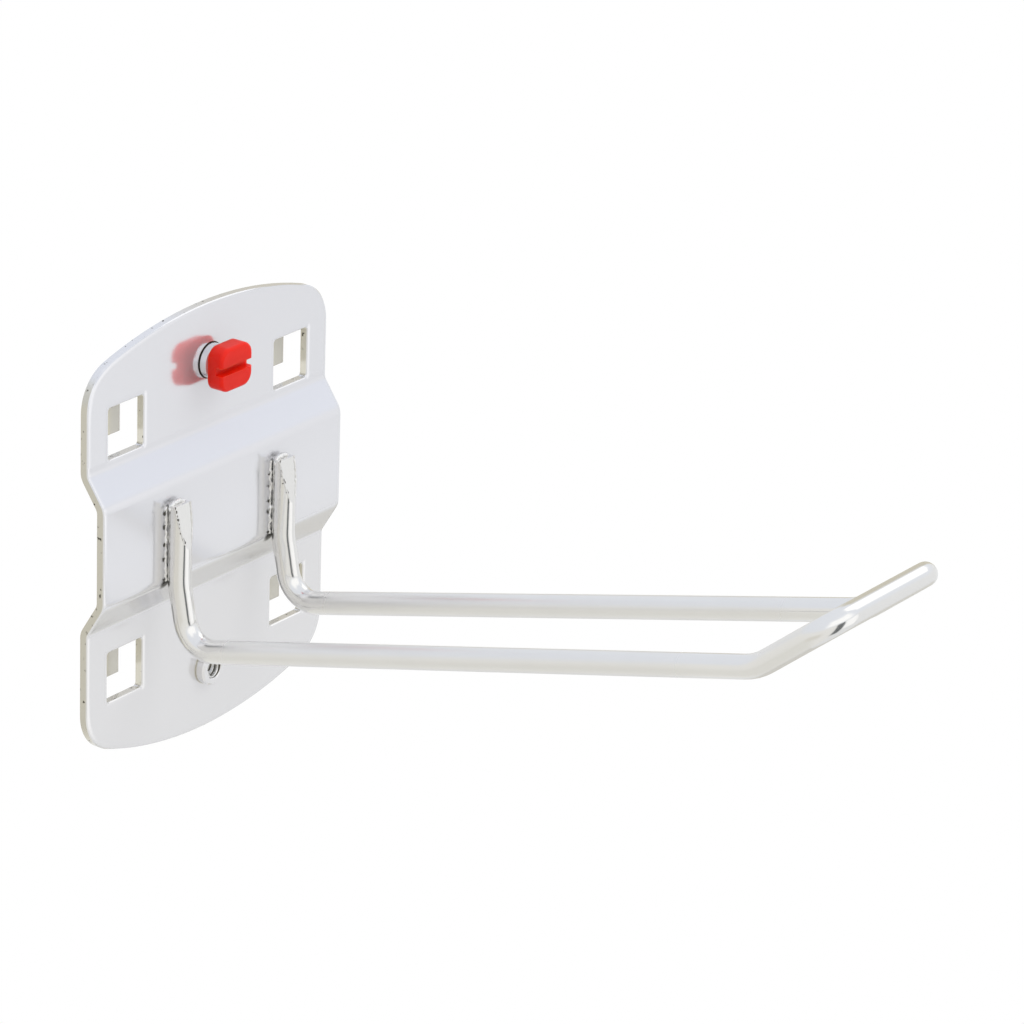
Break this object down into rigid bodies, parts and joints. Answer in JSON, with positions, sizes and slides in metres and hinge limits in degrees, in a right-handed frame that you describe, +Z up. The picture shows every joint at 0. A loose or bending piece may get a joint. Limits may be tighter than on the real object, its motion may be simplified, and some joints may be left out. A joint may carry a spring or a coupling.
{
  "type": "tool holder",
  "caption": "Tool holder for a perforated wall panel: stamped plate with bent-back hooks, a welded wire loop rising to an upturned end, and a slotted plastic clamp screw.",
  "frame": {"origin": "middle of the four hooks, on the back face of the plate where the panel stands", "axes": "+Z up, +X across the plate, +Y into the panel, so the arms reach towards -Y"},
  "size_m": [0.0552, 0.1238, 0.0673],
  "materials": {
    "plate_steel": "bright zinc plated sheet",
    "wire_steel": "bright zinc plated wire",
    "red_plastic": "moulded, semi-gloss"
  },
  "bodies": {
    "holder": {"back_plate": "plate_steel", "wire_arms": "wire_steel"},
    "clamp_screw": {"clamp_screw": "red_plastic"}
  },
  "joints": [
    {"name": "clamp_turn", "type": "hinge", "parent": "holder", "child": "clamp_screw", "pos_m": [0, -0.003, 0.0241], "axis": [0, 1, 0], "continuous": true}
  ]
}
